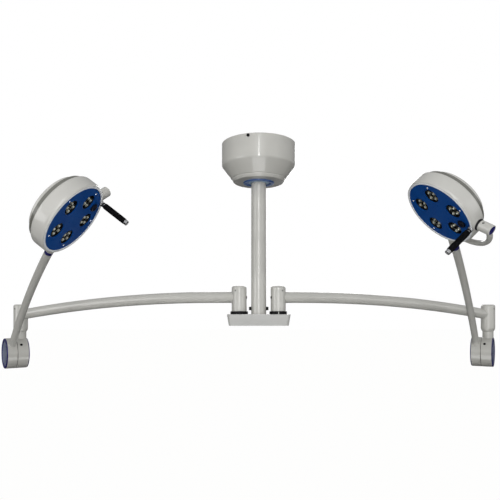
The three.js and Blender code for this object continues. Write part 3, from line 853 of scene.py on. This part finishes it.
def hub_cap(side, part, body, outward):
    """A navy ring on the hub's end with a shallow dish inside it, its navy plastic coloured a paler grey-blue
    as painted reflection.
    """
    span = side.measure(part, side.hub)
    face = span.high if outward > 0 else span.low
    back = face - outward * 3.4
    rim = span.radius
    inside = rim - HUB_RING_WIDTH
    ring = lathe([
        (rim, back, 0.5), (rim, face, 2.6), (inside + 2, face, 1.2), (inside, face - outward * 2.5, 0.8),
        (inside, back - outward * 2), (rim - 7, back - outward * 2), (rim - 7, back)], LARGE)
    side.add(part + "_ring", ring, side.hub, body, NAVY, [part])
    # the dish's paler grey-blue is painted reflection on navy plastic
    dish = lathe([
        (0, back - outward), (inside - 0.4, back - outward), (inside - 0.4, face - outward * 2.2, 0.8),
        (inside - 8, face - outward * 2.6, 3), (20, face - outward * 4.6, 8),
        (0, face - outward * 4.8)], LARGE)
    side.add(part + "_dish", dish, side.hub, body, CAP_REFLECTION_BLUE)
    return back


def hub(side):
    drop = side.own("drop")
    lift = side.own("lift")
    stem_half = side.measure("hub_stem_half", side.hub)
    arm_half = side.measure("hub_arm_half", side.hub)
    stem_end = hub_cap(side, "hub_stem_cap", drop, 1)
    arm_end = hub_cap(side, "hub_arm_cap", lift, -1)
    # the hub halves' darker paint is painted shade
    stem_shell = hub_shell(stem_half, stem_half.low, stem_end - 0.3)
    side.skin("hub_stem_half", stem_shell, side.hub, drop, SHADED_HUB_PAINT)
    arm_shell = hub_shell(arm_half, arm_half.high, arm_end + 0.3)
    side.skin("hub_arm_half", arm_shell, side.hub, lift, SHADED_HUB_PAINT)
    middle = (arm_half.high + stem_half.low) / 2
    half = (stem_half.low - arm_half.high) / 2 - SPLIT_CLEARANCE
    edge = stem_half.radius - 1.2
    axle = 15
    stub = 10
    washer = lathe([
        (0, middle - stub), (axle, middle - stub), (axle, middle - half), (edge, middle - half, 0.2),
        (edge, middle + half, 0.2), (axle, middle + half), (axle, middle + stub), (0, middle + stub)], LARGE)
    side.skin("hub_axle", washer, side.hub, drop, BLACK)
    wall = on_wall(side.hub, stem_half.radius, HUB_PLUG_TURN, stem_half.low + HUB_PLUG_FROM_SPLIT)
    side.add("hub_plug", dome_plug(HUB_PLUG_RADIUS, 1.6), wall, drop, BLACK)


# ---- Spring arm ------------------------------------------

class SpringArc:
    """The spring arm's middle line in the hub's place: an arc that ends along the swivel axis."""

    def __init__(self, side):
        self.end = (side.hub.inverted() @ side.swivel_point) / MM
        ahead = side.hub.to_3x3().inverted() @ side.reach
        chord = self.end - Vector((0, 0, self.end.z))
        bend = 2 * chord.angle(ahead)
        self.radius = chord.length / (2 * math.sin(bend / 2))
        self.length = self.radius * bend
        inwards = UP.cross(ahead)
        if inwards.dot(chord) > 0:
            inwards = -inwards
        self.centre = self.end + inwards * self.radius
        self.turn_axis = inwards.cross(ahead)

    def point(self, distance):
        turn = Matrix.Rotation((self.length - distance) / self.radius, 4, self.turn_axis)
        return self.centre + turn @ (self.end - self.centre)


def spring_arm(side):
    body = side.own("lift")
    radius = SPRING_TUBE
    arc = SpringArc(side)
    start = 28
    stop = arc.length - SWIVEL_RING_LENGTH - 0.3
    steps = 36
    line = [arc.point(start + (stop - start) * i / steps) for i in range(steps + 1)]
    tube = sweep(line, radius, UP, MIDDLE)
    side.add("spring_arm_skin", tube, side.hub, body, WHITE_PAINT, ["spring_arm_tube"])
    ring = side.measure("swivel_ring", side.end)
    edge = radius + 0.3
    band = lathe([
        (0, -SWIVEL_RING_LENGTH), (edge, -SWIVEL_RING_LENGTH, 0.5), (edge, 0, 0.6), (8, 0), (8, ring.high),
        (0, ring.high)], MIDDLE)
    side.skin("swivel_ring", band, side.end, body, NAVY)
    hub_radius = side.measure("hub_arm_half", side.hub).radius
    entry = arc.point(hub_radius)
    out = arc.point(hub_radius + 1) - entry
    bead_place = side.hub @ axes(entry * MM, UP, out)
    points = []
    for x, y, _ in ring_points(radius, 0, MIDDLE):
        sag = hub_radius - math.sqrt(hub_radius ** 2 - y ** 2)
        points.append(Vector((x, y, -sag)))
    bead = sweep(points, WELD_BEAD * 0.8, UP, BEAD_POINTS, closed=True)
    side.add("spring_arm_weld", bead, bead_place, body, WHITE_PAINT)


# ---- Yoke ------------------------------------------------

def yoke_line(side):
    reach = max(point.x for point in local_points(side.own("yoke"), side.yoke)) - YOKE_TUBE
    corner_x = reach - YOKE_CORNER
    corner_y = YOKE_CROWN - YOKE_CORNER
    line = [Vector((0, YOKE_CROWN, 0)), Vector((corner_x / 2, YOKE_CROWN, 0))]
    steps = 28
    for i in range(steps + 1):
        angle = math.radians(90) * i / steps
        y, x = polar(YOKE_CORNER, angle)
        line.append(Vector((corner_x + x, corner_y + y, 0)))
    line.append(Vector((reach, corner_y / 2, 0)))
    line.append(Vector((reach, YOKE_BOTTOM, 0)))
    return line


def yoke(side):
    body = side.own("yoke")
    socket = side.measure("yoke", side.socket)
    tube = sweep(yoke_line(side), YOKE_TUBE, UP, MIDDLE)
    side.add("yoke_tube", tube, side.yoke, body, WHITE_PAINT, ["yoke"])
    radius = 16
    bottom = YOKE_CROWN - 8
    swivel = lathe([
        (0, bottom), (radius, bottom, 5), (radius, socket.high, 1), (9, socket.high, 0.5),
        (9, socket.high - 20), (0, socket.high - 20)], MIDDLE)
    side.add("yoke_socket", swivel, side.socket, body, WHITE_PAINT)
    wall = on_wall(side.socket, radius, 40, socket.high - 12)
    set_screw(side.own("yoke_socket_screw"), wall, body)
    pivot_barrel(side)


def pivot_barrel(side):
    """The tilt bearing's sleeve, its end closed by a navy cap that sits inside it."""
    body = side.own("yoke")
    barrel = side.measure("pivot_barrel", side.barrel)
    cap = side.measure("pivot_cap", side.barrel)
    bore = barrel.radius - 2.6
    seat = barrel.high + 0.6
    shell = lathe([
        (10, barrel.low, 0.4), (barrel.radius, barrel.low, 1.2), (barrel.radius, cap.high, 1),
        (bore, cap.high, 0.8), (bore, seat), (10, seat)], MIDDLE)
    side.skin("pivot_barrel", shell, side.barrel, body, WHITE_PAINT)
    screw = on_wall(side.barrel, barrel.radius, BARREL_SCREW_TURN, barrel.low + 10)
    set_screw(side.own("pivot_barrel_screw"), screw, body)
    lid = bore - 0.2
    end = lathe([
        (0, seat + 0.3), (lid, seat + 0.3, 0.4), (lid, cap.high - 0.3, 0.8), (lid - 2.4, cap.high - 0.3, 0.8),
        (lid - 3.4, cap.high - 1.2, 1), (0, cap.high - 1.6)], MIDDLE)
    side.skin("pivot_cap", end, side.barrel, body, NAVY)


# ---- Lamp head -------------------------------------------

LAMP_TURNS = [math.radians(36 + 360 / LAMP_COUNT * i) for i in range(LAMP_COUNT)]
LAMP_SPOTS = [polar(LAMP_CIRCLE, turn) for turn in LAMP_TURNS]


def head_shell(side):
    body = side.own("head")
    place = side.head
    span = side.measure("head_casing", place)
    face = side.measure("face_plate", place)
    cover = side.measure("rear_cover", place)
    outer = span.radius
    inner = face.radius + 0.5
    rear = side.measure("head_casing", place, outside=outer - DRUM_REAR_EDGE - 1).low
    neck = side.measure("head_casing", place, below=rear - 1).radius
    front = span.high - 0.4
    ledge = inner + BEZEL_WIDTH
    drum = lathe([
        (ledge, front, 0.6), (outer - 3.6, front, 3), (outer, front - 6, 5), (outer, rear, 9),
        (neck - 4, rear, 1), (neck - 4, rear + 3), (outer - 7, rear + 3, 6), (outer - 5, 12),
        (inner - 5, 16), (inner - 5, face.low - 0.4), (ledge, face.low - 0.4)], LARGE)
    side.add("head_drum", drum, place, body, WHITE_PLASTIC, ["head_casing"])
    # the bezel's brighter colour is painted highlight
    bezel = lathe([
        (inner, face.low), (inner, span.high, 1), (ledge - 0.4, span.high, 1.8),
        (ledge - 0.4, face.low)], LARGE)
    side.add("head_bezel", bezel, place, body, LIT_BEZEL_WHITE)
    # the neck band's dark grey is painted shade in the step between drum and rear cover
    band = lathe([
        (neck, rear + 0.5), (neck, cover.high + 1, 1), (neck - 2, cover.high + 0.3, 0.6),
        (neck - 14, cover.high + 0.3), (neck - 14, rear + 0.5)], LARGE)
    side.add("head_neck", band, place, body, NECK_SHADE_GREY)
    rear_cover(side, cover)


def rear_cover(side, cover):
    """Shallow dome with a rolled rim, a ring groove and four screws."""
    r = cover.radius
    rim = cover.high - 13
    groove = r - 36
    dome = cover.low + 1.4
    back = lathe([
        (0, cover.high), (r - 3, cover.high, 0.4), (r, cover.high - 1, 1.4), (r, rim, 5),
        (r - 15, dome + 4, 9), (groove + 2, dome, 1), (groove, dome + 1.4, 0.8), (groove - 2, dome, 1),
        (0, cover.low, 0)], LARGE)
    side.skin("rear_cover", back, side.head, side.own("head"), WHITE_PLASTIC)
    screw_circle = r - 24
    for i, turn in enumerate(QUARTER_TURNS):
        spot = side.head @ shift(*polar(screw_circle, turn), dome + 1.6)
        name = side.own(f"rear_cover_screw_{i + 1}")
        set_screw(name, flipped(spot), side.own("head"), COVER_SCREW_RADIUS, STEEL)


def face_plate(side):
    body = side.own("head")
    face = side.measure("face_plate", side.head)
    button = centred(side.own("light_button"), side.head)
    button_spot = (side.head.inverted() @ button.translation) / MM
    holes = [(x, y, LAMP_HOLE) for x, y in LAMP_SPOTS]
    button_hole = side.measure("light_button", button).radius + 1
    holes.append((button_spot.x, button_spot.y, button_hole))
    plate = disc_with_holes(face.radius, face.low, face.high, holes)
    side.skin("face_plate", plate, side.head, body, FACE_BLUE, bevel=0.7)
    for i, turn in enumerate(LAMP_TURNS):
        # face screws in bright bluish steel: painted glint
        spot = side.head @ shift(*polar(FACE_SCREW_CIRCLE, turn), face.high)
        side.add(f"face_screw_{i + 1}", dome_plug(FACE_SCREW_RADIUS, 2.2), spot, body, GLINT_STEEL)


def lamp_cup():
    """Dark well behind one lamp opening."""
    outer = LAMP_HOLE - 0.7
    inner = outer - 1.2
    return lathe([
        (0, 9), (outer, 9), (outer, 20, 0.4), (inner + 0.3, 20, 0.4), (inner, 11.5, 1), (0, 11.5)], SMALL)


def petal_reflector():
    """One of the four bowls of a lamp, cut in facets, with a flat rim."""
    return lathe([
        (0, 12.2), (3.2, 12.2), (5, 13.6), (6.6, 16), (7.8, 19, 0.2), (9.2, 19, 0.4), (9.2, 16.5), (8, 16),
        (5.4, 12.6), (3.2, 11.5), (0, 11.5)], 14)


def source_dome():
    return lathe([(0, 12.4), (2.9, 12.4), (2.9, 14.8, 0.8), (1.7, 16.6, 0.8), (0, 17)], 20)


def petal_moves():
    """Where each lamp's four bowls go, as moves in millimetres."""
    moves = []
    for x, y in LAMP_SPOTS:
        for quarter in QUARTER_TURNS:
            across, along = polar(PETAL_CIRCLE, quarter + math.atan2(y, x))
            moves.append(Matrix.Translation((x + across, y + along, 0)))
    return moves


def lamps(side):
    body = side.own("head")
    cups = merged([(lamp_cup(), Matrix.Translation((x, y, 0))) for x, y in LAMP_SPOTS])
    side.add("lamp_cups", cups, side.head, body, BLACK, ["lens_array"])
    # the reflectors' dark olive colour is painted shade and painted reflection
    bowls = merged([(petal_reflector(), move) for move in petal_moves()])
    side.add("lamp_reflectors", bowls, side.head, body, SHADED_REFLECTOR, facet_angle=12)
    domes = merged([(source_dome(), move) for move in petal_moves()])
    side.add("lamp_sources", domes, side.head, body, PHOSPHOR)
    recolour(side.own("led_board"), ALUMINIUM, 0.5)


def saddle_block(wall, outer, radius):
    """A round block about Z, with its top flat and its foot on a round wall whose axis is square to Z."""
    foot = [(x, y, math.sqrt(wall ** 2 - y ** 2) - 1) for x, y, _ in ring_points(radius, 0, MIDDLE)]
    flare = [(x * 1.05, y * 1.05, z + 2) for x, y, z in foot]
    levels = ((radius, outer - 1), (radius - 0.6, outer - 0.2), (radius - 1.4, outer))
    return loft([foot, flare, *(ring_points(size, height, MIDDLE) for size, height in levels)])


def pivot_bracket(side):
    """The black block between the drum and the barrel, and the shaft that the barrel turns on."""
    body = side.own("head")
    drum = side.measure("head_casing", side.head).radius
    barrel = side.measure("pivot_barrel", side.barrel)
    standing = axes(side.head.translation, side.head.col[2].to_3d(), side.head.col[0].to_3d())
    block = saddle_block(drum, barrel.low - 0.5, barrel.radius + 0.8)
    side.add("pivot_saddle", block, standing, body, GASKET, ["pivot_bracket"])
    shaft = lathe([(0, drum + 2), (9, drum + 2), (9, drum + 30, 1), (0, drum + 30)], SMALL)
    side.add("tilt_shaft", shaft, side.barrel, body, STEEL)


def handle(side):
    body = side.own("head")
    place = centred(side.own("handle_grip"), side.head)
    core = side.measure("handle_core", place)
    grip = side.measure("handle_grip", place)
    foot = lathe([
        (0, core.low), (9, core.low, 0.8), (9, core.low + 3, 1), (6, core.low + 5.5, 1.5),
        (6, grip.low - 0.3), (0, grip.low - 0.3)], SMALL)
    side.add("handle_foot", foot, place, body, CHROME, ["handle_core"])
    collar_low = core.low + 6.5
    collar_high = collar_low + 4
    collar = lathe([
        (6.1, collar_low), (8.2, collar_low, 0.6), (8.2, collar_high, 0.6), (6.1, collar_high)], SMALL)
    side.add("handle_collar", collar, place, body, BLACK)
    outline = [(4.5, grip.low), (grip.radius - 0.6, grip.low, 0.8)]
    ribs = 11
    pitch = (grip.high - grip.low - 12) / ribs
    for i in range(ribs):
        start = grip.low + 6 + i * pitch
        outline += [(grip.radius, start, 0.6), (grip.radius, start + pitch - 1.4, 0.5),
                    (grip.radius - 0.45, start + pitch - 0.7, 0.3)]
    outline += [(grip.radius - 0.3, grip.high, 0.9), (4.5, grip.high)]
    side.skin("handle_grip", lathe(outline, SMALL), place, body, RUBBER)
    tip_start = grip.high + 0.3
    tip = lathe([
        (0, tip_start), (8.6, tip_start, 0.5), (8.6, tip_start + 2.4, 0.4), (8.1, tip_start + 2.9, 0.3),
        (8.6, tip_start + 3.4, 0.4), (8.6, core.high, 1.6), (4, core.high, 0.4), (3.4, core.high - 1, 0.4),
        (0, core.high - 1)], SMALL)
    side.add("handle_tip", tip, place, body, CHROME)


def light_button(side):
    place = centred(side.own("light_button"), side.head)
    span = side.measure("light_button", place)
    radius = span.radius
    key = lathe([
        (0, span.high - 6), (radius, span.high - 6), (radius, span.high, 1.6), (radius - 3.4, span.high, 1),
        (radius - 4.6, span.high - 0.9, 1), (0, span.high - 1.3)], MIDDLE)
    side.skin("light_button", key, place, side.own("button"), BUTTON_NAVY)


# ---- Stage -----------------------------------------------

CAMERA_DISTANCE = 2.0004
CAMERA_X = -0.0328
CAMERA_Z = -0.654
WINDOW_RISE = 0.117        # the view is level, and its window is shifted up by this share
WINDOW_LEFT = 0.001        # and to the left by this share
FLOOR_DEPTH = 1.5          # metres under the lowest point of the object
FLOOR_SEEN = (0.99, 0.99, 0.985)
LIT_FROM = (0.1, -0.9, 0.42)
SKY_DIM = 0.3
SKY_BRIGHT = 0.88


def camera():
    data = bpy.data.cameras.new("camera")
    data.sensor_width = 36
    data.lens = 36
    data.shift_x = -WINDOW_LEFT
    data.shift_y = WINDOW_RISE
    data.clip_end = 100
    camera_object = bpy.data.objects.new("camera", data)
    camera_object.location = (CAMERA_X, -CAMERA_DISTANCE, CAMERA_Z)
    camera_object.rotation_euler = (math.radians(90), 0, 0)
    bpy.context.scene.collection.objects.link(camera_object)
    bpy.context.scene.camera = camera_object


def soft_light(name, spot, width, height, power):
    """An oval or round softbox that faces the object."""
    data = bpy.data.lights.new(name, "AREA")
    data.shape = "ELLIPSE"
    data.size = width
    data.size_y = height
    data.energy = power
    lamp = bpy.data.objects.new(name, data)
    lamp.location = spot
    lamp.visible_camera = False
    target = (CAD_BOX[0] + CAD_BOX[1]) / 2
    lamp.rotation_mode = "QUATERNION"
    lamp.rotation_quaternion = (target - Vector(spot)).to_track_quat("-Z", "Y")
    bpy.context.scene.collection.objects.link(lamp)


def backdrop():
    """White to the camera; the object sees a studio that is bright in front and above, dim elsewhere."""
    world = bpy.data.worlds.new("studio")
    bpy.context.scene.world = world
    world.use_nodes = True
    tree = world.node_tree
    tree.nodes.clear()
    new = tree.nodes.new
    link = tree.links.new
    output = new("ShaderNodeOutputWorld")
    mix = new("ShaderNodeMixShader")
    path = new("ShaderNodeLightPath")
    white = new("ShaderNodeBackground")
    white.inputs["Color"].default_value = (1, 1, 1, 1)
    soft = new("ShaderNodeBackground")
    place = new("ShaderNodeTexCoord")
    towards_light = new("ShaderNodeVectorMath")
    towards_light.operation = "DOT_PRODUCT"
    towards_light.inputs[1].default_value = LIT_FROM
    glow = new("ShaderNodeMapRange")
    glow.interpolation_type = "SMOOTHSTEP"
    for name, value in {"From Min": -0.8, "From Max": 1.0, "To Min": SKY_DIM, "To Max": SKY_BRIGHT}.items():
        glow.inputs[name].default_value = value
    link(place.outputs["Generated"], towards_light.inputs[0])
    link(towards_light.outputs["Value"], glow.inputs["Value"])
    link(glow.outputs["Result"], soft.inputs["Strength"])
    link(path.outputs["Is Camera Ray"], mix.inputs["Fac"])
    link(soft.outputs["Background"], mix.inputs[1])
    link(white.outputs["Background"], mix.inputs[2])
    link(mix.outputs["Shader"], output.inputs["Surface"])


def floor():
    """A wide pale floor: nearly white to the camera, dark in the object's reflections, clear from below."""
    bm = bmesh.new()
    bmesh.ops.create_grid(bm, x_segments=8, y_segments=8, size=40)
    mesh = bpy.data.meshes.new("floor")
    bm.to_mesh(mesh)
    bm.free()
    plane = bpy.data.objects.new("floor", mesh)
    plane.location.z = CAD_BOX[0].z - FLOOR_DEPTH
    look = Look("floor", "", 0.9)
    look.colour(look.mottled(400, (0.06, 0.06, 0.06), (0.05, 0.05, 0.05)))
    look.shader.inputs["Specular IOR Level"].default_value = 0
    new = look.tree.nodes.new
    seen = new("ShaderNodeEmission")
    seen.inputs["Color"].default_value = (*FLOOR_SEEN, 1)
    mix = new("ShaderNodeMixShader")
    path = new("ShaderNodeLightPath")
    output = look.tree.nodes["Material Output"]
    look.link(path.outputs["Is Camera Ray"], mix.inputs["Fac"])
    look.link(look.shader.outputs["BSDF"], mix.inputs[1])
    look.link(seen.outputs["Emission"], mix.inputs[2])
    under_side = new("ShaderNodeNewGeometry")
    clear = new("ShaderNodeBsdfTransparent")
    both = new("ShaderNodeMixShader")
    look.link(under_side.outputs["Backfacing"], both.inputs["Fac"])
    look.link(mix.outputs["Shader"], both.inputs[1])
    look.link(clear.outputs["BSDF"], both.inputs[2])
    look.link(both.outputs["Shader"], output.inputs["Surface"])
    mesh.materials.append(look.material)
    bpy.context.scene.collection.objects.link(plane)


def stage():
    backdrop()
    floor()
    camera()
    soft_light("front", (0, -4, -0.3), 3.5, 3.5, 25)
    soft_light("strip", (0, -2.6, -0.1), 0.28, 1.8, 13)
    soft_light("low", (0, -2.4, -2.2), 2.2, 2.2, 17)
    soft_light("under", (0, -0.9, -2.3), 1.6, 1.6, 17)
    soft_light("left", (-3.2, -2.0, -0.3), 2.0, 2.0, 26)
    soft_light("right", (3.2, -2.0, -0.3), 2.0, 2.0, 11)
    soft_light("back", (0.5, 3.4, 0.6), 2.6, 2.6, 46)
    bpy.context.scene.view_settings.view_transform = "Standard"


# ---- The whole light -------------------------------------

ceiling_flange()
power_supply()
canopy()
column()
cross_bar()
for side in (Side("left"), Side("right")):
    post_collars(side)
    arm(side)
    drop_stem(side)
    hub(side)
    spring_arm(side)
    yoke(side)
    head_shell(side)
    face_plate(side)
    lamps(side)
    pivot_bracket(side)
    handle(side)
    light_button(side)
stage()
